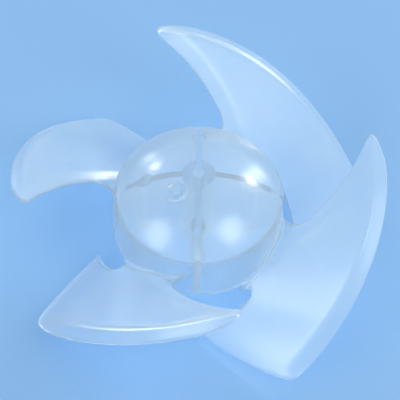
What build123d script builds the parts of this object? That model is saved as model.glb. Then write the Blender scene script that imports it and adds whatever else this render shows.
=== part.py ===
"""Axial fan impeller: one moulding with a domed hub, four forward-swept blades and a central shaft bore.

The origin is on the shaft axis in the plane of the hub's bottom rim, +Z points out of the dome, and
the blades lead anticlockwise seen from the dome side. Lengths are in millimetres, angles in degrees.
"""

import os
from math import acos, atan2, cos, degrees, exp, radians, sin, sqrt

from build123d import *

# ---------------------------------------------------------------- overall
fan_radius = 55.0
blade_count = 4

# ---------------------------------------------------------------- hub shell
hub_radius = 25.0
hub_wall = 1.6
shoulder_height = 15.3
crown_height = 27.3
shoulder_fillet = 3.0
rim_chamfer = 0.4

# ---------------------------------------------------------------- shaft boss and its bore
boss_radius = 4.8
bore_radius = 1.585
bore_roof = 1.5

# ---------------------------------------------------------------- ribs and round posts
rib_count = 4
rib_thickness = 1.8
rib_rim_gap = 0.6
post_radius = 2.15
post_circle_radius = 15.2

# ---------------------------------------------------------------- gate dimple in the dome
gate_angle = -135.0
gate_circle_radius = 9.4
gate_ring_radius = 3.4
gate_ring_width = 0.7
gate_ring_height = 0.25
gate_dish_depth = 0.5
gate_nub_radius = 1.1

# ---------------------------------------------------------------- blade outline, seen along the axis
sweep_radius = 44.5
sweep_inner_radius = 32.6
sweep_inner_angle = -11.1
horn_corner_radius = 52.0
horn_corner_angle = 16.1
horn_back_angle = 2.0
horn_fillet = 1.9
throat_fillet = 5.0
throat_lead_angle = 0.0
trail_outer_angle = -59.4
trail_inner_angle = -86.4
trail_bow = 1.0
heel_fillet = 3.0
slot_width = 4.3
slot_end_angle = -59.5
toe_fillet = 0.8
root_sink = 0.8

# ---------------------------------------------------------------- blade skin heights
mid_angle = -30.0
mid_height_hub = 7.8
mid_height_tip = 12.1
climb_hub = 13.6
climb_tip = 37.1
camber_hub = 3.7
camber_tip = 13.5
lead_droop = 1.8
rim_droop = 4.4
trail_fade = 7.0

# ---------------------------------------------------------------- blade thickness, measured along the axis
root_thickness = 2.8
tip_thickness = 1.9
edge_thickness = 1.3
rim_band = 3.8
lead_band = 3.8
rim_fade = 0.9
plate_inner = 11.0
plate_front = 41.0
plate_back = -31.0
plate_rows = 6
plate_steps = 8
rim_front = 22.0
rim_back = -66.0
rim_steps = 12
lead_front = -16.0
lead_back = -84.0
lead_rows = 6
lead_steps = 5
lip_overrun = 0.4


def polar(radius, angle):
    """Point in plan at a radius and an angle round the shaft axis."""
    return Vector(radius * cos(radians(angle)), radius * sin(radians(angle)))


def arc_centre(start, end, radius):
    """Centre of the arc from start to end that keeps its centre on the left of that way."""
    along = end - start
    half = along.length / 2
    left = Vector(-along.Y, along.X) / along.length
    return start + along / 2 + left * sqrt(radius**2 - half**2)


crown_rise = crown_height - shoulder_height
dome_radius = (hub_radius**2 + crown_rise**2) / (2 * crown_rise)
dome_centre = crown_height - dome_radius

reach = 1.1 * fan_radius
slot_radius = hub_radius + slot_width
sweep_inner = polar(sweep_inner_radius, sweep_inner_angle)
horn_corner = polar(horn_corner_radius, horn_corner_angle)
sweep_centre = arc_centre(sweep_inner, horn_corner, sweep_radius)
sweep_along = atan2(sweep_centre.Y, sweep_centre.X)
sweep_opening = (hub_radius**2 + sweep_centre.length**2 - sweep_radius**2) / (2 * hub_radius * sweep_centre.length)
sweep_angle = degrees(sweep_along - acos(sweep_opening))
throat_wall = hub_radius * radians(throat_lead_angle - sweep_angle)
trail_inner = polar(slot_radius, trail_inner_angle)
trail_outer = polar(fan_radius, trail_outer_angle)
trail_along = (trail_outer - trail_inner).normalized()
trail_inward = Vector(-trail_along.Y, trail_along.X)


def blend(at_hub, at_tip, radius):
    """Value that runs in a straight line from the hub's wall to the blade tip."""
    return at_hub + (at_tip - at_hub) * (radius - hub_radius) / (fan_radius - hub_radius)


def plate_height(radius, angle):
    """Height of the plate's upper skin, which is straight along every radius."""
    turn = radians(angle - mid_angle)
    climb = blend(climb_hub, climb_tip, radius) * turn - blend(camber_hub, camber_tip, radius) * turn**2
    return blend(mid_height_hub, mid_height_tip, radius) + climb


def skin_point(plan, drop, thinning, below):
    """Point over a place in plan, lowered from the plate by a drop; below is 1 on the lower skin."""
    radius = plan.length
    body = blend(root_thickness, tip_thickness, radius)
    thickness = body + (edge_thickness - body) * thinning
    height = plate_height(radius, degrees(atan2(plan.Y, plan.X))) - drop - below * thickness
    return Vector(plan.X, plan.Y, height)


def plate_skin(below):
    """Upper or lower skin of the blade's plate, over a rectangle that holds the blade's outline."""
    rows = []
    for row in range(plate_rows + 1):
        out = plate_inner + (fan_radius + 1 - plate_inner) * row / plate_rows
        sides = [plate_back + (plate_front - plate_back) * step / plate_steps for step in range(plate_steps + 1)]
        plans = [polar(out, mid_angle) + polar(side, mid_angle + 90) for side in sides]
        rows.append([skin_point(plan, 0, 0, below) for plan in plans])
    return Face.make_surface_from_array_of_points(rows, tol=0.01, min_deg=3, max_deg=5)


def rim_skin(below):
    """Upper or lower skin of the lip that turns down at the rim and fades out at the trailing edge."""
    inner = []
    outer = []
    for step in range(rim_steps + 1):
        turn = rim_front + (rim_back - rim_front) * step / rim_steps
        from_trail = (polar(fan_radius, turn) - trail_inner).dot(trail_inward)
        fade = 1 - rim_fade * exp(-max(0, from_trail) / trail_fade)
        crease = skin_point(polar(fan_radius - rim_band, turn), 0, 0, below)
        edge = skin_point(polar(fan_radius, turn), rim_droop * fade, fade, below)
        inner.append(crease + (crease - edge) * lip_overrun)
        outer.append(edge + (edge - crease) * lip_overrun)
    return Face.make_surface_from_curves(Edge.make_spline(inner), Edge.make_spline(outer))


def lead_skin(below):
    """Upper or lower skin of the lip that turns down along the leading sweep and levels out before it."""
    rows = []
    for row in range(lead_rows + 1):
        share = 4 * (row / lead_rows) ** 1.5 - 0.5
        drop = lead_droop * min(share, 1 + (share - 1) * 0.2)
        ring = sweep_radius + lead_band * (1 - share)
        turns = [lead_back + (lead_front - lead_back) * step / lead_steps for step in range(lead_steps + 1)]
        plans = [sweep_centre + polar(ring, turn) for turn in turns]
        rows.append([skin_point(plan, drop, min(share, 1), below) for plan in plans])
    return Face.make_surface_from_array_of_points(rows, tol=0.01, min_deg=3, max_deg=5)


def blade_outline():
    """Outline of a blade seen along the axis: sweep, horn, tip circle, trailing edge and slot."""
    throat_corner = polar(hub_radius, sweep_angle)
    horn_back = polar(fan_radius, horn_back_angle)
    slot_end_radius = hub_radius + slot_width / 2
    slot_end_reach = degrees(slot_width / 2 / slot_end_radius)
    root_radius = hub_radius - root_sink
    with BuildSketch(Plane.XY.offset(-reach)) as outline:
        with BuildLine():
            ThreePointArc(throat_corner, sweep_inner, horn_corner)
            TangentArc(horn_back, horn_corner, tangent=polar(1, horn_back_angle + 90))
            ThreePointArc(horn_back, polar(fan_radius, mid_angle), trail_outer)
            ThreePointArc(trail_outer, (trail_outer + trail_inner) / 2 - trail_inward * trail_bow, trail_inner)
            ThreePointArc(trail_inner, polar(slot_radius, (trail_inner_angle + slot_end_angle) / 2),
                          polar(slot_radius, slot_end_angle))
            ThreePointArc(polar(slot_radius, slot_end_angle),
                          polar(slot_end_radius, slot_end_angle + slot_end_reach),
                          polar(hub_radius, slot_end_angle))
            Line(polar(hub_radius, slot_end_angle), polar(root_radius, slot_end_angle))
            ThreePointArc(polar(root_radius, slot_end_angle), polar(root_radius, mid_angle),
                          polar(root_radius, throat_lead_angle))
            Line(polar(root_radius, throat_lead_angle), polar(hub_radius, throat_lead_angle))
            ThreePointArc(polar(hub_radius, throat_lead_angle),
                          polar(hub_radius, throat_lead_angle - 5), throat_corner)
        make_face()
        corners = outline.vertices()
        fillet(corners.sort_by_distance(Vector(*throat_corner))[0], min(throat_fillet, throat_wall / 2))
        fillet(outline.vertices().sort_by_distance(Vector(*horn_corner))[0], horn_fillet)
        fillet(outline.vertices().sort_by_distance(Vector(*trail_outer))[0], heel_fillet)
        fillet(outline.vertices().sort_by_distance(Vector(*trail_inner))[0], toe_fillet)
    return outline.sketch


def above(skin):
    """Everything over a skin."""
    return extrude(skin, amount=reach, dir=(0, 0, 1), mode=Mode.PRIVATE)


def blade_solid():
    """One blade: its outline, cut off at the lowest of the plate and its two turned-down lips."""
    with BuildPart() as blade:
        extrude(blade_outline(), amount=2 * reach, dir=(0, 0, 1))
        with BuildPart(mode=Mode.INTERSECT):
            add(above(plate_skin(1)))
            add(above(rim_skin(1)))
            add(above(lead_skin(1)))
        add(above(plate_skin(0)), mode=Mode.SUBTRACT)
        add(above(rim_skin(0)), mode=Mode.SUBTRACT)
        add(above(lead_skin(0)), mode=Mode.SUBTRACT)
    return blade.part


def cap_section(inset):
    """Half section of the domed cap, radius against height, a distance inside its outer face."""
    side = hub_radius - inset
    dome = dome_radius - inset
    shoulder = dome_centre + sqrt(dome**2 - side**2)
    with BuildSketch() as section:
        with BuildLine():
            Line((0, 0), (side, 0))
            Line((side, 0), (side, shoulder))
            RadiusArc((side, shoulder), (0, crown_height - inset), -dome)
            Line((0, crown_height - inset), (0, 0))
        make_face()
        fillet(section.vertices().sort_by_distance((side, shoulder))[0], shoulder_fillet - inset)
    return section.sketch


# ---------------------------------------------------------------- hub cap
with BuildPart() as hub:
    with BuildSketch(Plane.XZ) as wall:
        add(cap_section(0))
        add(cap_section(hub_wall), mode=Mode.SUBTRACT)
        chamfer(wall.vertices().group_by(Axis.Y)[0], rim_chamfer)
    revolve(axis=Axis.Z)

# ---------------------------------------------------------------- boss, ribs and posts under the dome
with BuildPart() as core:
    with BuildSketch():
        Circle(boss_radius)
    extrude(amount=crown_height)
    with BuildSketch(Plane.XY.offset(rib_rim_gap)):
        with PolarLocations(0, rib_count):
            Rectangle(hub_radius - hub_wall / 2, rib_thickness, align=(Align.MIN, Align.CENTER))
        with PolarLocations(post_circle_radius, rib_count):
            Circle(post_radius)
    extrude(amount=crown_height)
    with BuildSketch(Plane.XZ):
        add(cap_section(hub_wall / 2))
    revolve(axis=Axis.Z, mode=Mode.INTERSECT)

# ---------------------------------------------------------------- the whole moulding
blade = blade_solid()
gate_reach = Vector(gate_circle_radius, 0, sqrt(dome_radius**2 - gate_circle_radius**2))
gate_normal = gate_reach.rotate(Axis.Z, gate_angle)
gate_plane = Plane(origin=Vector(0, 0, dome_centre) + gate_normal, z_dir=gate_normal)

with BuildPart() as impeller:
    with PolarLocations(0, blade_count):
        add(blade)
    with BuildSketch(Plane.XY.offset(-reach)):
        Circle(hub_radius)
    extrude(amount=reach, mode=Mode.SUBTRACT)
    add(hub.part)
    add(core.part)
    with BuildSketch():
        Circle(bore_radius)
    extrude(amount=crown_height - bore_roof, mode=Mode.SUBTRACT)
    with BuildSketch(gate_plane.offset(-2 * gate_dish_depth)):
        Circle(gate_ring_radius)
    extrude(amount=2 * gate_dish_depth + gate_ring_height)
    with BuildSketch(gate_plane.offset(-gate_dish_depth)):
        Circle(gate_ring_radius - gate_ring_width)
        Circle(gate_nub_radius, mode=Mode.SUBTRACT)
    extrude(amount=gate_dish_depth + gate_ring_height, mode=Mode.SUBTRACT)

impeller.part.label = "impeller"
os.makedirs("parts", exist_ok=True)
export_step(impeller.part, "parts/impeller.step")
print("impeller volume", round(impeller.part.volume), "mm3, solids", len(impeller.part.solids()))
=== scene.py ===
"""Axial fan impeller: one frosted polypropylene moulding on a pale floor under soft light.

Sizes are in millimetres and angles in degrees, as on the moulding's drawing, and become metres when a mesh is
made. The floor, the camera and the lamps are in metres.
"""

from math import acos, atan2, cos, degrees, hypot, pi, radians, sin, sqrt

import bmesh
import bpy
import numpy as np
from mathutils import Matrix, Vector, geometry


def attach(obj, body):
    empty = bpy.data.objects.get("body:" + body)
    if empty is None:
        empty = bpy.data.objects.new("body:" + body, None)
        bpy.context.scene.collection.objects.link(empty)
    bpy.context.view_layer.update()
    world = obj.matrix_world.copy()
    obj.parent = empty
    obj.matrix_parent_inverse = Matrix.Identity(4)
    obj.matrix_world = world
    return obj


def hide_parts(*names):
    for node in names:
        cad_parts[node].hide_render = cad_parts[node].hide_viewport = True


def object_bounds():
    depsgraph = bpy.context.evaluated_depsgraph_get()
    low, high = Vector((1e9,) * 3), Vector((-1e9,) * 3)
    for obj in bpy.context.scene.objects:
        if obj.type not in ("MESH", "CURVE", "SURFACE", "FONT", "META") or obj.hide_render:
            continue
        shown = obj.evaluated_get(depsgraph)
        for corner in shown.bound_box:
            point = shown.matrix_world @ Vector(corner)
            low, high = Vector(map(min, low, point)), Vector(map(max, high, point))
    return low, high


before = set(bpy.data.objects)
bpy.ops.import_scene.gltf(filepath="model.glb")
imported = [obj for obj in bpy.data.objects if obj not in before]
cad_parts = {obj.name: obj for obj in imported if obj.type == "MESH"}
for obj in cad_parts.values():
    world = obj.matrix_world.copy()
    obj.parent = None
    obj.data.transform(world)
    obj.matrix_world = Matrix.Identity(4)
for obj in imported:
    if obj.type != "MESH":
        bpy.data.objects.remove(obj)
cad_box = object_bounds()

MM = 0.001

# ---------------------------------------------------------------- hub
HUB_RADIUS = 25.0
HUB_WALL = 1.6
SHOULDER_HEIGHT = 15.3
CROWN_HEIGHT = 27.3
SHOULDER_FILLET = 3.0
RIM_ROUNDING = 0.4
BOSS_RADIUS = 4.8
BORE_RADIUS = 1.585
BORE_ROOF = 1.5
RIB_COUNT = 4
RIB_THICKNESS = 1.8
RIB_RIM_GAP = 0.6
RIB_LOW_END = 3.5
RIB_SHOULDER_GAP = 0.3
POST_RADIUS = 2.15
POST_CIRCLE_RADIUS = 15.2
GATE_ANGLE = -135.0
GATE_CIRCLE_RADIUS = 9.4
GATE_RING_RADIUS = 3.05
GATE_RING_SECTION = 0.5
GATE_DISH_RADIUS = 2.85
GATE_DISH_DEPTH = 0.9
GATE_NUB_RADIUS = 1.1
GATE_NUB_DEPTH = 1.1
GATE_NUB_SINK = 0.05
CUT_OVERRUN = 2.0
HUB_PARTS = ("Rib", "Post", "Boss", "Gate ring", "Gate nub", "Gate dish", "Bore")

# ---------------------------------------------------------------- blade outline
FAN_RADIUS = 55.0
BLADE_COUNT = 4
SWEEP_RADIUS = 44.5
SWEEP_INNER = (32.6, -11.1)
HORN_CORNER = (52.0, 16.1)
HORN_BACK_ANGLE = 2.0
HORN_SETBACK = 3.23
THROAT_FILLET = 5.0
THROAT_INSET = 0.15
TRAIL_OUTER_ANGLE = -59.4
TRAIL_INNER_ANGLE = -86.4
TRAIL_BOW = 1.0
HEEL_SETBACK = 3.0
TOE_SETBACK = 1.28
SLOT_WIDTH = 4.3
SLOT_END_ANGLE = -59.5
ROOT_RADIUS = 24.2

# ---------------------------------------------------------------- blade skins
# A pair gives the value at the hub's wall and at the blade tip.
MID_ANGLE = -30.0
MID_HEIGHT = (7.8, 12.1)
CLIMB = (13.6, 37.1)
CAMBER = (3.7, 13.5)
RIM_BAND = 3.8
RIM_DROOP = 4.4
RIM_FADE = 0.9
TRAIL_FADE = 7.0
LEAD_BAND = 3.8
LEAD_DROOP = 1.8
LEAD_RUN_ON = 0.2
CREASE_SOFTNESS = 0.5
THICKNESS = (2.8, 1.9)
EDGE_THICKNESS = 1.3
TRAIL_TAPER = 4.0
TRAIL_THINNING = 0.3
EDGE_ROUNDING = 0.55
ROOT_FILLET = 1.2
ROOT_CLEARANCE = 0.1

# ---------------------------------------------------------------- fineness of the meshes
OUTLINE_SPACING = 0.3
EDGE_RING_SHARES = (0.12, 0.4, 0.75, 1.15)
EDGE_RING_CLEARANCE = 0.93
GRID_SPACING = 0.62
GRID_ROW_SHARE = 0.866
GRID_MARGIN_SHARE = 0.6
PLAN_TOLERANCE = 1e-7
BORDER_TOLERANCE = 1e-5
POINTS_AT_A_TIME = 400
NO_LENGTH = 1e-12
HUB_SEGMENTS = 160
WALL_FOOT = 1.0
WALL_STEPS = 13
RIM_SPACING = 0.12
SHOULDER_SPACING = 0.25
DOME_SPACING = 0.7
RIB_STATIONS = 24
ROUND_SEGMENTS = 48
WIDE_SEGMENTS = 64
NUB_SEGMENTS = 40
RING_SIDES = 14
WELD_DISTANCE = 1e-7
SEAM_WIDTH = 0.005
SHARP_ANGLE = 38

# ---------------------------------------------------------------- finish
CLEARNESS = 0.74
LIGHT_PASSED = 0.70
REFRACTION = 1.49
SHEEN = 0.25
SHEEN_ROUGHNESS = 0.35
# A noise is given by its scale and its detail, and a tint by its place on the ramp and its colour.
CLOUD_NOISE = (55, 3)
CLOUD_TINTS = ((0.3, (0.76, 0.90, 1.0, 1)), (0.75, (0.87, 0.96, 1.0, 1)))
SATIN_NOISE = (900, 4)
SATIN_ROUGHNESS = (0.17, 0.27)
FLOW_NOISE = (130, 2)
SATIN_IN_BUMP = 0.3
BUMP_STRENGTH = 0.04
BUMP_DISTANCE = 0.0004
FLOOR_COLOUR = (0.30, 0.55, 0.88, 1)
FLOOR_ROUGHNESS = 0.8

# ---------------------------------------------------------------- floor, camera and light
# A lamp is given by its name, place, width and power. The aim is in millimetres.
FLOOR_REACH = 3
CAMERA_ELEVATION = 54.5
CAMERA_ROLL = 1.05
CAMERA_DISTANCE = 1.4785
CAMERA_LENS = 450
CAMERA_SENSOR = 36
CAMERA_CLIP_END = 20
AIM_RIGHT = 0.45
AIM_UP = 7.45
LAMPS = (
    ("back_right", (0.75, 0.62, 0.50), 0.22, 2.8),
    ("front_right", (0.61, -0.46, 0.79), 0.50, 2.9),
    ("front_left", (-0.73, -0.49, 0.66), 0.55, 2.9),
    ("back_left", (-0.60, 0.80, 0.46), 0.14, 1.2),
)
ROOM_COLOUR = (0.84, 0.92, 1.0, 1)
ROOM_STRENGTH = 0.50
BACKDROP_COLOUR = (0.56, 0.75, 0.95, 1)
BACKDROP_STRENGTH = 1.0


def polar(radius, angle):
    """Plan point at a radius and an angle round the shaft."""
    return Vector((radius * cos(radians(angle)), radius * sin(radians(angle))))


def arc_centre(start, end, radius):
    """Centre of the arc from start to end that keeps its centre on the left of that way."""
    along = end - start
    left = Vector((-along.y, along.x)).normalized()
    return start + along / 2 + left * sqrt(radius**2 - (along.length / 2) ** 2)


SWEEP_START = polar(*SWEEP_INNER)
HORN = polar(*HORN_CORNER)
SWEEP_CENTRE = arc_centre(SWEEP_START, HORN, SWEEP_RADIUS)
SLOT_RADIUS = HUB_RADIUS + SLOT_WIDTH
TRAIL_INNER = polar(SLOT_RADIUS, TRAIL_INNER_ANGLE)
TRAIL_OUTER = polar(FAN_RADIUS, TRAIL_OUTER_ANGLE)
TRAIL_ALONG = (TRAIL_OUTER - TRAIL_INNER).normalized()
TRAIL_INWARD = Vector((-TRAIL_ALONG.y, TRAIL_ALONG.x))
CROWN_RISE = CROWN_HEIGHT - SHOULDER_HEIGHT
DOME_RADIUS = (HUB_RADIUS**2 + CROWN_RISE**2) / (2 * CROWN_RISE)
DOME_CENTRE = CROWN_HEIGHT - DOME_RADIUS


# ---------------------------------------------------------------- blade outline in plan
def arc(centre, radius, first, last, spacing=OUTLINE_SPACING):
    """Points along an arc from one angle to another, both ends included."""
    steps = max(2, round(abs(radians(last - first)) * radius / spacing))
    return [centre + polar(radius, first + (last - first) * step / steps) for step in range(steps + 1)]


def angle_from(centre, point):
    """Angle at which a plan point is seen from a centre."""
    return degrees(atan2(point.y - centre.y, point.x - centre.x))


def arc_through(centre, start, end, turn):
    """Arc from start to end about a centre; turn is 1 anticlockwise and -1 clockwise."""
    first = angle_from(centre, start)
    last = angle_from(centre, end)
    while (last - first) * turn < 0:
        last += 360 * turn
    return arc(centre, (start - centre).length, first, last)


def rounded(outline, corner, setback):
    """Closed outline with the corner nearest to a point rounded off over a setback on both sides."""
    count = len(outline)
    index = min(range(count), key=lambda i: (outline[i] - corner).length)
    reach = [0, 0]
    for side, way in enumerate((-1, 1)):
        walked = 0
        while walked < setback:
            here = outline[(index + way * reach[side]) % count]
            reach[side] += 1
            walked += (outline[(index + way * reach[side]) % count] - here).length
    start = outline[(index - reach[0]) % count]
    peak = outline[index]
    end = outline[(index + reach[1]) % count]
    steps = max(4, round(2 * setback / OUTLINE_SPACING))
    bend = []
    for step in range(1, steps):
        t = step / steps
        bend.append(start * (1 - t) ** 2 + peak * 2 * t * (1 - t) + end * t**2)
    turned = outline[index:] + outline[:index]
    return turned[reach[1]:count - reach[0] + 1] + bend


def blade_outline():
    """Closed anticlockwise outline of one blade: rim, horn, sweep, throat, root, slot and trailing edge."""
    origin = Vector((0, 0))
    # The throat's arc touches the hub's wall and the sweep, so its centre closes a triangle of known sides.
    wall_radius = HUB_RADIUS - THROAT_INSET
    to_centre = SWEEP_CENTRE.length
    reach = wall_radius + THROAT_FILLET
    opening = (reach**2 + to_centre**2 - (SWEEP_RADIUS - THROAT_FILLET) ** 2) / (2 * reach * to_centre)
    throat_centre = polar(reach, angle_from(origin, SWEEP_CENTRE) - degrees(acos(opening)))
    sweep_end = SWEEP_CENTRE + (throat_centre - SWEEP_CENTRE).normalized() * SWEEP_RADIUS
    root_start = throat_centre.normalized() * wall_radius
    # The horn's back leaves the tip circle smoothly and runs in one arc to the horn.
    horn_back = polar(FAN_RADIUS, HORN_BACK_ANGLE)
    chord = HORN - horn_back
    nose_radius = chord.length**2 / (-2 * chord.dot(horn_back.normalized()))
    nose_centre = horn_back - horn_back.normalized() * nose_radius
    # The trailing edge bows outwards by a fixed height over its chord.
    chord = TRAIL_OUTER - TRAIL_INNER
    bow_radius = (chord.length**2 / 4 + TRAIL_BOW**2) / (2 * TRAIL_BOW)
    bow_centre = (TRAIL_OUTER + TRAIL_INNER) / 2 + TRAIL_INWARD * (bow_radius - TRAIL_BOW)
    slot_middle = polar(HUB_RADIUS + SLOT_WIDTH / 2, SLOT_END_ANGLE)
    slot_ends = polar(HUB_RADIUS, SLOT_END_ANGLE), polar(SLOT_RADIUS, SLOT_END_ANGLE)

    outline = arc(origin, FAN_RADIUS, TRAIL_OUTER_ANGLE, HORN_BACK_ANGLE)
    outline += arc_through(nose_centre, horn_back, HORN, 1)[1:]
    outline += arc_through(SWEEP_CENTRE, HORN, sweep_end, -1)[1:]
    outline += arc_through(throat_centre, sweep_end, root_start, -1)[1:]
    outline += arc(origin, ROOT_RADIUS, angle_from(origin, root_start), SLOT_END_ANGLE)
    outline += arc_through(slot_middle, *slot_ends, -1)
    outline += arc(origin, SLOT_RADIUS, SLOT_END_ANGLE, TRAIL_INNER_ANGLE)[1:]
    outline += arc_through(bow_centre, TRAIL_INNER, TRAIL_OUTER, 1)[1:-1]
    for corner, setback in ((HORN, HORN_SETBACK), (TRAIL_OUTER, HEEL_SETBACK), (TRAIL_INNER, TOE_SETBACK)):
        outline = rounded(outline, corner, setback)
    return np.array([tuple(p) for p in outline])


# ---------------------------------------------------------------- blade skins over the plan
def blend(ends, radius):
    """Value that runs in a straight line from the hub's wall to the blade tip."""
    return ends[0] + (ends[1] - ends[0]) * (radius - HUB_RADIUS) / (FAN_RADIUS - HUB_RADIUS)


def soft_least(first, second):
    """The lower of two heights, with a soft bend where they meet."""
    return (first + second - np.sqrt((first - second) ** 2 + CREASE_SOFTNESS**2)) / 2


def blade_heights(plan):
    """Upper and lower heights of a blade at plan points, before its edges are rounded."""
    radius = np.hypot(plan[:, 0], plan[:, 1])
    turn = np.arctan2(plan[:, 1], plan[:, 0]) - radians(MID_ANGLE)
    plate = blend(MID_HEIGHT, radius) + blend(CLIMB, radius) * turn - blend(CAMBER, radius) * turn**2
    body = blend(THICKNESS, radius)
    from_trail = (plan - np.array(TRAIL_INNER)) @ np.array(TRAIL_INWARD)
    fade = 1 - RIM_FADE * np.exp(-np.maximum(0, from_trail) / TRAIL_FADE)
    out = (radius - FAN_RADIUS + RIM_BAND) / RIM_BAND
    depth = np.hypot(*(plan - np.array(SWEEP_CENTRE)).T) - SWEEP_RADIUS
    ahead = 1 - depth / LEAD_BAND
    ahead = np.minimum(ahead, 1 + (ahead - 1) * LEAD_RUN_ON)
    rim = plate - RIM_DROOP * fade * out
    lead = plate - LEAD_DROOP * ahead
    upper = soft_least(soft_least(plate, rim), lead)
    rim_under = rim - body - (EDGE_THICKNESS - body) * fade * out
    lead_under = lead - body - (EDGE_THICKNESS - body) * np.minimum(ahead, 1)
    lower = soft_least(soft_least(plate - body, rim_under), lead_under)
    taper = np.clip(1 - from_trail / TRAIL_TAPER, 0, 1) ** 2
    lower = upper - (upper - lower) * (1 - TRAIL_THINNING * taper)
    return upper, lower


def edge_distance(plan, outline):
    """Distance from each plan point to the outline."""
    along = np.roll(outline, -1, axis=0) - outline
    length = np.maximum((along**2).sum(1), NO_LENGTH)
    nearest = np.empty(len(plan))
    for first in range(0, len(plan), POINTS_AT_A_TIME):
        offset = plan[first:first + POINTS_AT_A_TIME, None, :] - outline[None]
        share = np.clip((offset * along[None]).sum(2) / length, 0, 1)
        short = offset - share[..., None] * along[None]
        nearest[first:first + POINTS_AT_A_TIME] = np.sqrt((short**2).sum(2)).min(1)
    return nearest


def inside(plan, outline):
    """Whether each plan point lies inside the outline."""
    x, y = plan[:, 0, None], plan[:, 1, None]
    x0, y0 = outline[:, 0], outline[:, 1]
    x1, y1 = np.roll(x0, -1), np.roll(y0, -1)
    crosses = (y0 > y) != (y1 > y)
    with np.errstate(divide="ignore", invalid="ignore"):
        at = x0 + (y - y0) * (x1 - x0) / (y1 - y0)
    return (crosses & (x < at)).sum(1) % 2 == 1


def plan_points(outline):
    """A blade's outline, then rings inside it that carry the edge rounding, then an even grid."""
    inward = np.roll(outline, -1, axis=0) - np.roll(outline, 1, axis=0)
    inward = np.stack([-inward[:, 1], inward[:, 0]], 1)
    inward /= np.linalg.norm(inward, axis=1)[:, None]
    points = [outline]
    for share in EDGE_RING_SHARES:
        ring = outline + inward * EDGE_ROUNDING * share
        keep = inside(ring, outline)
        keep &= edge_distance(ring, outline) > EDGE_ROUNDING * share * EDGE_RING_CLEARANCE
        points.append(ring[keep])
    low, high = outline.min(0), outline.max(0)
    rows = []
    for row, y in enumerate(np.arange(low[1], high[1], GRID_SPACING * GRID_ROW_SHARE)):
        xs = np.arange(low[0] + (row % 2) * GRID_SPACING / 2, high[0], GRID_SPACING)
        rows.append(np.stack([xs, np.full(len(xs), y)], 1))
    grid = np.concatenate(rows)
    grid = grid[inside(grid, outline)]
    margin = EDGE_ROUNDING * EDGE_RING_SHARES[-1] + GRID_SPACING * GRID_MARGIN_SHARE
    points.append(grid[edge_distance(grid, outline) > margin])
    return np.concatenate(points)


def stitch(plan, upper, lower, faces):
    """Joins an upper and a lower skin over the same plan points into one closed mesh."""
    count = len(plan)
    verts = [(x, y, z) for skin in (upper, lower) for (x, y), z in zip(plan, skin)]
    sides = [side for a, b, c in faces for side in ((a, b), (b, c), (c, a))]
    shared = set(sides)
    walls = [(b, a, a + count, b + count) for a, b in sides if (b, a) not in shared]
    under = [(c + count, b + count, a + count) for a, b, c in faces]
    return verts, faces + under + walls


def blade_mesh():
    """One blade as a closed mesh: two skins over a fine plan grid, meeting in a rounded edge."""
    outline = blade_outline()
    points = [Vector(p) for p in plan_points(outline)]
    border = list(range(len(outline)))
    inside_only = 1
    result = geometry.delaunay_2d_cdt(points, [], [border], inside_only, PLAN_TOLERANCE)
    plan = np.array([tuple(p) for p in result[0]])
    faces = [tuple(face) for face in result[2]]
    gap = edge_distance(plan, outline)
    gap[gap < BORDER_TOLERANCE] = 0
    upper, lower = blade_heights(plan)
    middle = (upper + lower) / 2
    half = (upper - lower) / 2
    over = np.clip(1 - gap / EDGE_ROUNDING, 0, 1)
    drop = np.minimum(half, EDGE_ROUNDING) * (1 - np.sqrt(1 - over**2))
    radius = np.hypot(plan[:, 0], plan[:, 1])
    near = np.clip(1 - (radius - HUB_RADIUS) / ROOT_FILLET, 0, 1)
    swell = ROOT_FILLET * (1 - np.sqrt(1 - near**2)) * np.clip(gap / ROOT_FILLET, 0, 1)
    return stitch(plan, middle + half - drop + swell, middle - half + drop - swell, faces)


# ---------------------------------------------------------------- hub meshes
def dome_height(radius, inset):
    """Height of the dome, a distance inside its outer face."""
    return DOME_CENTRE + sqrt((DOME_RADIUS - inset) ** 2 - radius**2)


def wall_middle(radius):
    """Height of the middle of the dome's wall, where what stands under it ends."""
    return dome_height(radius, HUB_WALL / 2)


def flat(height):
    """Height rule of a level top."""
    return lambda radius: height


def cap_profile(inset):
    """Half profile of the cap from low on its wall to its crown, radius against height."""
    side = HUB_RADIUS - inset
    fillet = SHOULDER_FILLET - inset
    ball = DOME_RADIUS - inset - fillet
    centre = Vector((side - fillet, DOME_CENTRE + sqrt(ball**2 - (side - fillet) ** 2)))
    rise = degrees(atan2(centre.y - DOME_CENTRE, centre.x))
    points = [Vector((side, height)) for height in np.linspace(WALL_FOOT, centre.y, WALL_STEPS + 1)[1:-1]]
    points += arc(centre, fillet, 0, rise, SHOULDER_SPACING)
    points += arc(Vector((0, DOME_CENTRE)), DOME_RADIUS - inset, rise, 90, DOME_SPACING)[1:]
    return points


def revolved(profile, segments):
    """Closed mesh of a profile turned about the shaft; its first and last points lie on the shaft."""
    verts = [(0, 0, profile[0].y), (0, 0, profile[-1].y)]
    for point in profile[1:-1]:
        for segment in range(segments):
            angle = 2 * pi * segment / segments
            verts.append((point.x * cos(angle), point.x * sin(angle), point.y))
    rings = len(profile) - 2
    faces = []
    for segment in range(segments):
        after = (segment + 1) % segments
        faces.append((0, 2 + after, 2 + segment))
        last = 2 + (rings - 1) * segments
        faces.append((1, last + segment, last + after))
        for ring in range(rings - 1):
            base = 2 + ring * segments
            above = base + segments
            faces.append((base + segment, base + after, above + after, above + segment))
    return verts, faces


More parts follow.
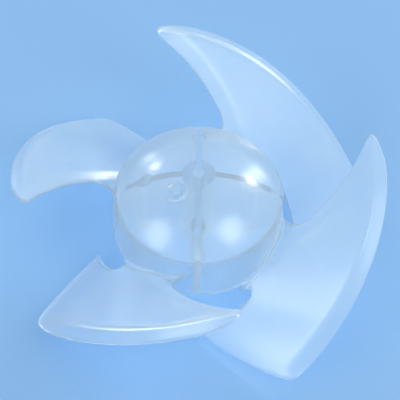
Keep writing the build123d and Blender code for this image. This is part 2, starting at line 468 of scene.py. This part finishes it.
def shell_mesh():
    """The hub's wall and dome as one thin closed shell with a rounded rim."""
    outer = cap_profile(0)
    inner = cap_profile(HUB_WALL)
    foot = Vector((HUB_RADIUS - RIM_ROUNDING, RIM_ROUNDING))
    rim = arc(foot, RIM_ROUNDING, -90, 0, RIM_SPACING)
    inner_foot = Vector((HUB_RADIUS - HUB_WALL + RIM_ROUNDING, RIM_ROUNDING))
    inner_rim = arc(inner_foot, RIM_ROUNDING, 180, 270, RIM_SPACING)
    profile = inner[::-1] + inner_rim + rim + outer
    return revolved(profile[::-1], HUB_SEGMENTS)


def cylinder_mesh(radius, low, top, segments=ROUND_SEGMENTS, offset=0):
    """Closed cylinder, an offset along X from the shaft, its top by a height rule of the distance from it."""
    verts = [(offset, 0, low), (offset, 0, top(offset))]
    for segment in range(segments):
        angle = 2 * pi * segment / segments
        x, y = offset + radius * cos(angle), radius * sin(angle)
        verts += [(x, y, low), (x, y, top(hypot(x, y)))]
    faces = []
    for segment in range(segments):
        a, b = 2 + 2 * segment, 2 + 2 * ((segment + 1) % segments)
        faces += [(0, b, a), (1, a + 1, b + 1), (a, b, b + 1, a + 1)]
    return verts, faces


def rib_mesh():
    """One rib from inside the boss to inside the hub's wall, its top running inside the dome's skin."""
    wall = HUB_RADIUS - HUB_WALL / 2
    stations = np.linspace(BOSS_RADIUS / 2, wall, RIB_STATIONS)
    tops = []
    for x in stations:
        top = wall_middle(x)
        if x > wall - RIB_LOW_END:
            top = min(top, SHOULDER_HEIGHT - RIB_SHOULDER_GAP)
        tops.append(top)
    verts = []
    for side in (-1, 1):
        y = side * RIB_THICKNESS / 2
        verts += [(x, y, RIB_RIM_GAP) for x in stations]
        verts += [(x, y, top) for x, top in zip(stations, tops)]
    # The four long edges, by the number of their first point.
    near_low, near_top, far_low, far_top = (row * RIB_STATIONS for row in range(4))
    faces = []
    for a in range(RIB_STATIONS - 1):
        b = a + 1
        faces.append((near_low + a, near_low + b, near_top + b, near_top + a))
        faces.append((far_low + b, far_low + a, far_top + a, far_top + b))
        faces.append((near_low + b, near_low + a, far_low + a, far_low + b))
        faces.append((near_top + a, near_top + b, far_top + b, far_top + a))
    faces.append((near_low, near_top, far_top, far_low))
    end = RIB_STATIONS - 1
    faces.append((near_low + end, far_low + end, far_top + end, near_top + end))
    return verts, faces


def ring_mesh(radius, section):
    """Torus about the origin, lying flat."""
    verts = []
    for segment in range(WIDE_SEGMENTS):
        turn = 2 * pi * segment / WIDE_SEGMENTS
        for side in range(RING_SIDES):
            tilt = 2 * pi * side / RING_SIDES
            reach = radius + section * cos(tilt)
            verts.append((reach * cos(turn), reach * sin(turn), section * sin(tilt)))
    faces = []
    for segment in range(WIDE_SEGMENTS):
        here = segment * RING_SIDES
        there = (segment + 1) % WIDE_SEGMENTS * RING_SIDES
        for side in range(RING_SIDES):
            after = (side + 1) % RING_SIDES
            faces.append((here + side, there + side, there + after, here + after))
    return verts, faces


# ---------------------------------------------------------------- Blender objects
def mesh_object(name, shape, place=None):
    """Object of a mesh given in millimetres, with its doubles merged and its normals outward."""
    verts, faces = shape
    mesh = bpy.data.meshes.new(name)
    mesh.from_pydata([Vector(v) * MM for v in verts], [], faces)
    if place is not None:
        mesh.transform(place)
    work = bmesh.new()
    work.from_mesh(mesh)
    bmesh.ops.remove_doubles(work, verts=work.verts, dist=WELD_DISTANCE)
    bmesh.ops.recalc_face_normals(work, faces=work.faces)
    work.to_mesh(mesh)
    work.free()
    piece = bpy.data.objects.new(name, mesh)
    bpy.context.scene.collection.objects.link(piece)
    return piece


def node(tree, kind, inputs=None, **settings):
    """New node with its settings, and with values for its inputs by name or number."""
    made = tree.nodes.new(kind)
    for key, value in settings.items():
        setattr(made, key, value)
    for key, value in (inputs or {}).items():
        made.inputs[key].default_value = value
    return made


# ---------------------------------------------------------------- geometry node helpers
def new_tree(name, sockets):
    """Geometry node tree with a geometry output and the given inputs: (name, socket type, default)."""
    tree = bpy.data.node_groups.new(name, "GeometryNodeTree")
    for label, kind, default in sockets:
        socket = tree.interface.new_socket(name=label, in_out="INPUT", socket_type=kind)
        if default is not None:
            socket.default_value = default
    tree.interface.new_socket(name="Geometry", in_out="OUTPUT", socket_type="NodeSocketGeometry")
    return tree


def turned_copies(tree, geometry_socket, count_socket):
    """Copies of a geometry spaced evenly round the shaft, made real."""
    points = node(tree, "GeometryNodePoints")
    index = node(tree, "GeometryNodeInputIndex")
    step = node(tree, "ShaderNodeMath", {0: 2 * pi}, operation="DIVIDE")
    angle = node(tree, "ShaderNodeMath", operation="MULTIPLY")
    rotation = node(tree, "ShaderNodeCombineXYZ")
    place = node(tree, "GeometryNodeInstanceOnPoints")
    real = node(tree, "GeometryNodeRealizeInstances")
    link = tree.links.new
    link(count_socket, points.inputs["Count"])
    link(count_socket, step.inputs[1])
    link(step.outputs[0], angle.inputs[0])
    link(index.outputs[0], angle.inputs[1])
    link(angle.outputs[0], rotation.inputs["Z"])
    link(points.outputs[0], place.inputs["Points"])
    link(geometry_socket, place.inputs["Instance"])
    link(rotation.outputs[0], place.inputs["Rotation"])
    link(place.outputs[0], real.inputs[0])
    return real.outputs[0]


def from_object(tree, socket):
    """Geometry of the object that an input of the tree names."""
    info = node(tree, "GeometryNodeObjectInfo", transform_space="ORIGINAL")
    tree.links.new(socket, info.inputs["Object"])
    return info.outputs["Geometry"]


def joined(tree, parts):
    """Several closed geometries made one."""
    union = node(tree, "GeometryNodeMeshBoolean", operation="UNION", solver="MANIFOLD")
    for part in parts:
        tree.links.new(part, union.inputs["Mesh 2"])
    return union.outputs["Mesh"]


def cut_from(tree, body, cutter):
    """A closed geometry with another taken out of it."""
    cut = node(tree, "GeometryNodeMeshBoolean", operation="DIFFERENCE", solver="MANIFOLD")
    tree.links.new(body, cut.inputs["Mesh 1"])
    tree.links.new(cutter, cut.inputs["Mesh 2"])
    return cut.outputs["Mesh"]


def run_tree(piece, tree, values):
    """Gives a piece the tree as a modifier, sets its inputs and turns the result into a plain mesh."""
    modifier = piece.modifiers.new(tree.name, "NODES")
    modifier.node_group = tree
    for item in tree.interface.items_tree:
        if item.in_out == "INPUT" and item.name in values:
            modifier[item.identifier] = values[item.name]
    bpy.context.view_layer.update()
    evaluated = piece.evaluated_get(bpy.context.evaluated_depsgraph_get())
    mesh = bpy.data.meshes.new_from_object(evaluated)
    piece.modifiers.remove(modifier)
    return mesh


def hub_tree():
    """The hub: shell, boss and evenly spaced ribs and posts made one, then the gate mark and the bore."""
    sockets = [("Geometry", "NodeSocketGeometry", None), ("Rib count", "NodeSocketInt", RIB_COUNT)]
    sockets += [(label, "NodeSocketObject", None) for label in HUB_PARTS]
    tree = new_tree("hub_moulding", sockets)
    start = node(tree, "NodeGroupInput")
    out = node(tree, "NodeGroupOutput")
    part = {label: from_object(tree, start.outputs[label]) for label in HUB_PARTS}
    ribs, posts = (turned_copies(tree, part[label], start.outputs["Rib count"]) for label in ("Rib", "Post"))
    solid = joined(tree, [start.outputs["Geometry"], ribs, posts, part["Boss"]])
    dished = cut_from(tree, solid, part["Gate dish"])
    marked = joined(tree, [dished, part["Gate ring"], part["Gate nub"]])
    tree.links.new(cut_from(tree, marked, part["Bore"]), out.inputs["Geometry"])
    return tree


def impeller_tree():
    """The impeller: evenly spaced blades joined to the hub, in the moulding's material."""
    tree = new_tree("impeller_moulding", [
        ("Geometry", "NodeSocketGeometry", None),
        ("Blade count", "NodeSocketInt", BLADE_COUNT),
        ("Hub", "NodeSocketObject", None),
        ("Motor space", "NodeSocketObject", None),
        ("Plastic", "NodeSocketMaterial", None),
    ])
    start = node(tree, "NodeGroupInput")
    out = node(tree, "NodeGroupOutput")
    blades = turned_copies(tree, start.outputs["Geometry"], start.outputs["Blade count"])
    trimmed = cut_from(tree, blades, from_object(tree, start.outputs["Motor space"]))
    whole = joined(tree, [trimmed, from_object(tree, start.outputs["Hub"])])
    painted = node(tree, "GeometryNodeSetMaterial")
    tree.links.new(whole, painted.inputs["Geometry"])
    tree.links.new(start.outputs["Plastic"], painted.inputs["Material"])
    tree.links.new(painted.outputs[0], out.inputs["Geometry"])
    return tree


# ---------------------------------------------------------------- materials
def noise(tree, place, fineness, location):
    """Noise on the piece's own coordinates."""
    scale, detail = fineness
    made = node(tree, "ShaderNodeTexNoise", {"Scale": scale, "Detail": detail}, location=location)
    tree.links.new(place.outputs["Object"], made.inputs["Vector"])
    return made.outputs["Fac"]


def frosted_polypropylene():
    """Milky, slightly see-through moulded plastic: cloudy body, fine satin grain and faint flow marks."""
    material = bpy.data.materials.new("milky_moulding")
    material.use_nodes = True
    tree = material.node_tree
    shader = tree.nodes["Principled BSDF"]
    place = node(tree, "ShaderNodeTexCoord", location=(-1200, 0))
    link = tree.links.new

    cloud = noise(tree, place, CLOUD_NOISE, (-900, 300))
    tint = node(tree, "ShaderNodeValToRGB", location=(-650, 300))
    for stop, (position, colour) in zip(tint.color_ramp.elements, CLOUD_TINTS):
        stop.position = position
        stop.color = colour
    link(cloud, tint.inputs["Fac"])
    link(tint.outputs["Color"], shader.inputs["Base Color"])

    grain = noise(tree, place, SATIN_NOISE, (-900, 0))
    dull, duller = SATIN_ROUGHNESS
    satin = node(tree, "ShaderNodeMapRange", {"To Min": dull, "To Max": duller}, location=(-650, 0))
    link(grain, satin.inputs["Value"])
    link(satin.outputs["Result"], shader.inputs["Roughness"])

    flow = noise(tree, place, FLOW_NOISE, (-900, -300))
    relief = node(tree, "ShaderNodeMath", {1: SATIN_IN_BUMP}, location=(-650, -300), operation="MULTIPLY_ADD")
    link(grain, relief.inputs[0])
    link(flow, relief.inputs[2])
    bump = node(tree, "ShaderNodeBump", {"Strength": BUMP_STRENGTH, "Distance": BUMP_DISTANCE},
                location=(-400, -300))
    link(relief.outputs[0], bump.inputs["Height"])
    link(bump.outputs["Normal"], shader.inputs["Normal"])

    # Shadow rays pass in part, because light goes through the plastic and its shadow is pale.
    light_path = node(tree, "ShaderNodeLightPath", location=(-650, -550))
    passing = node(tree, "ShaderNodeMath", {1: -LIGHT_PASSED, 2: 1.0}, location=(-400, -550),
                   operation="MULTIPLY_ADD")
    link(light_path.outputs["Is Shadow Ray"], passing.inputs[0])
    link(passing.outputs[0], shader.inputs["Alpha"])

    shader.inputs["Transmission Weight"].default_value = CLEARNESS
    shader.inputs["IOR"].default_value = REFRACTION
    shader.inputs["Sheen Weight"].default_value = SHEEN
    shader.inputs["Sheen Roughness"].default_value = SHEEN_ROUGHNESS
    return material


def plain_floor():
    """Plain, dull pale blue."""
    material = bpy.data.materials.new("pale_floor")
    material.use_nodes = True
    shader = material.node_tree.nodes["Principled BSDF"]
    shader.inputs["Base Color"].default_value = FLOOR_COLOUR
    shader.inputs["Roughness"].default_value = FLOOR_ROUGHNESS
    return material


# ---------------------------------------------------------------- build
def build_hub():
    """The hub with its ribs, posts, boss, bore and gate mark, as one object."""
    normal = Vector((GATE_CIRCLE_RADIUS, 0, sqrt(DOME_RADIUS**2 - GATE_CIRCLE_RADIUS**2))).normalized()
    turn = Matrix.Rotation(radians(GATE_ANGLE), 4, "Z")
    tilt = normal.to_track_quat("Z", "Y").to_matrix().to_4x4()
    face = turn @ Matrix.Translation((Vector((0, 0, DOME_CENTRE)) + normal * DOME_RADIUS) * MM) @ tilt
    shapes = {
        "Rib": rib_mesh(),
        "Post": cylinder_mesh(POST_RADIUS, RIB_RIM_GAP, wall_middle, offset=POST_CIRCLE_RADIUS),
        "Boss": cylinder_mesh(BOSS_RADIUS, 0, wall_middle, WIDE_SEGMENTS),
        "Gate ring": ring_mesh(GATE_RING_RADIUS, GATE_RING_SECTION),
        "Gate nub": cylinder_mesh(GATE_NUB_RADIUS, -GATE_NUB_DEPTH, flat(-GATE_NUB_SINK), NUB_SEGMENTS),
        "Gate dish": cylinder_mesh(GATE_DISH_RADIUS, -GATE_DISH_DEPTH, flat(CUT_OVERRUN), WIDE_SEGMENTS),
        "Bore": cylinder_mesh(BORE_RADIUS, -CUT_OVERRUN, flat(CROWN_HEIGHT - BORE_ROOF)),
    }
    hub = mesh_object("hub", shell_mesh())
    parts = {}
    for label in HUB_PARTS:
        on_dome = face if label.startswith("Gate") else None
        parts[label] = mesh_object(label.lower().replace(" ", "_"), shapes[label], on_dome)
    hub.data = run_tree(hub, hub_tree(), {"Rib count": RIB_COUNT, **parts})
    for part in parts.values():
        bpy.data.objects.remove(part)
    return hub


def close_seams(mesh):
    """Merges points that lie on one another after the joining and closes what pinholes that leaves."""
    work = bmesh.new()
    work.from_mesh(mesh)
    bmesh.ops.remove_doubles(work, verts=work.verts, dist=SEAM_WIDTH * MM)
    bmesh.ops.dissolve_degenerate(work, edges=work.edges, dist=SEAM_WIDTH * MM / 2)
    bmesh.ops.holes_fill(work, edges=[edge for edge in work.edges if edge.is_boundary], sides=0)
    bmesh.ops.triangulate(work, faces=[face for face in work.faces if len(face.verts) > 4])
    bmesh.ops.recalc_face_normals(work, faces=work.faces)
    work.to_mesh(mesh)
    work.free()
    mesh.validate()


def build_impeller(plastic):
    """The whole moulding: the blades, cut clear of the motor's space under the hub, and the hub."""
    hub = build_hub()
    impeller = mesh_object("impeller_moulding", blade_mesh())
    space_top = flat(RIM_ROUNDING - ROOT_CLEARANCE)
    space = cylinder_mesh(HUB_RADIUS - ROOT_CLEARANCE, -HUB_RADIUS, space_top, HUB_SEGMENTS)
    motor_space = mesh_object("motor_space", space)
    mesh = run_tree(impeller, impeller_tree(), {
        "Blade count": BLADE_COUNT, "Hub": hub, "Motor space": motor_space, "Plastic": plastic})
    impeller.data = mesh
    bpy.data.objects.remove(hub)
    bpy.data.objects.remove(motor_space)
    close_seams(mesh)
    mesh.shade_smooth()
    mesh.set_sharp_from_angle(angle=radians(SHARP_ANGLE))
    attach(impeller, "root")
    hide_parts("impeller")


def build_floor(height):
    """Square floor at a height."""
    corners = ((-1, -1), (1, -1), (1, 1), (-1, 1))
    mesh = bpy.data.meshes.new("floor")
    mesh.from_pydata([(x * FLOOR_REACH, y * FLOOR_REACH, height) for x, y in corners], [], [(0, 1, 2, 3)])
    floor = bpy.data.objects.new("floor", mesh)
    floor.data.materials.append(plain_floor())
    bpy.context.scene.collection.objects.link(floor)


def build_camera():
    """Long lens looking down at the impeller along +Y."""
    elevation = radians(CAMERA_ELEVATION)
    ahead = Vector((0, cos(elevation), -sin(elevation)))
    right = Vector((1, 0, 0))
    up = right.cross(ahead)
    aim = right * AIM_RIGHT * MM + up * AIM_UP * MM
    data = bpy.data.cameras.new("camera")
    data.lens = CAMERA_LENS
    data.sensor_width = CAMERA_SENSOR
    data.clip_end = CAMERA_CLIP_END
    camera = bpy.data.objects.new("camera", data)
    camera.location = aim - ahead * CAMERA_DISTANCE
    camera.rotation_euler = ahead.to_track_quat("-Z", "Y").to_euler()
    camera.rotation_euler.rotate_axis("Z", radians(CAMERA_ROLL))
    bpy.context.scene.collection.objects.link(camera)
    bpy.context.scene.camera = camera


def soft_light(name, place, size, power):
    """Round lamp aimed at the origin."""
    data = bpy.data.lights.new(name, "AREA")
    data.shape = "DISK"
    data.size = size
    data.energy = power
    lamp = bpy.data.objects.new(name, data)
    lamp.location = place
    lamp.rotation_euler = (-Vector(place)).to_track_quat("-Z", "Y").to_euler()
    bpy.context.scene.collection.objects.link(lamp)


def build_world():
    """Soft light from all round, and a backdrop seen past the floor, mirrored or through the plastic."""
    world = bpy.data.worlds.new("studio")
    world.use_nodes = True
    tree = world.node_tree
    link = tree.links.new
    light = tree.nodes["Background"]
    light.inputs["Color"].default_value = ROOM_COLOUR
    light.inputs["Strength"].default_value = ROOM_STRENGTH
    backdrop = node(tree, "ShaderNodeBackground", {"Color": BACKDROP_COLOUR, "Strength": BACKDROP_STRENGTH})
    path = node(tree, "ShaderNodeLightPath")
    seen = node(tree, "ShaderNodeMath", operation="MAXIMUM")
    seen_through = node(tree, "ShaderNodeMath", operation="MAXIMUM")
    mix = node(tree, "ShaderNodeMixShader")
    link(path.outputs["Is Camera Ray"], seen.inputs[0])
    link(path.outputs["Is Glossy Ray"], seen.inputs[1])
    link(seen.outputs[0], seen_through.inputs[0])
    link(path.outputs["Is Transmission Ray"], seen_through.inputs[1])
    link(seen_through.outputs[0], mix.inputs[0])
    link(light.outputs[0], mix.inputs[1])
    link(backdrop.outputs[0], mix.inputs[2])
    link(mix.outputs[0], tree.nodes["World Output"].inputs["Surface"])
    bpy.context.scene.world = world


build_impeller(frosted_polypropylene())
build_floor(cad_box[0].z)
build_camera()
for lamp in LAMPS:
    soft_light(*lamp)
build_world()
bpy.context.scene.view_settings.view_transform = "Standard"
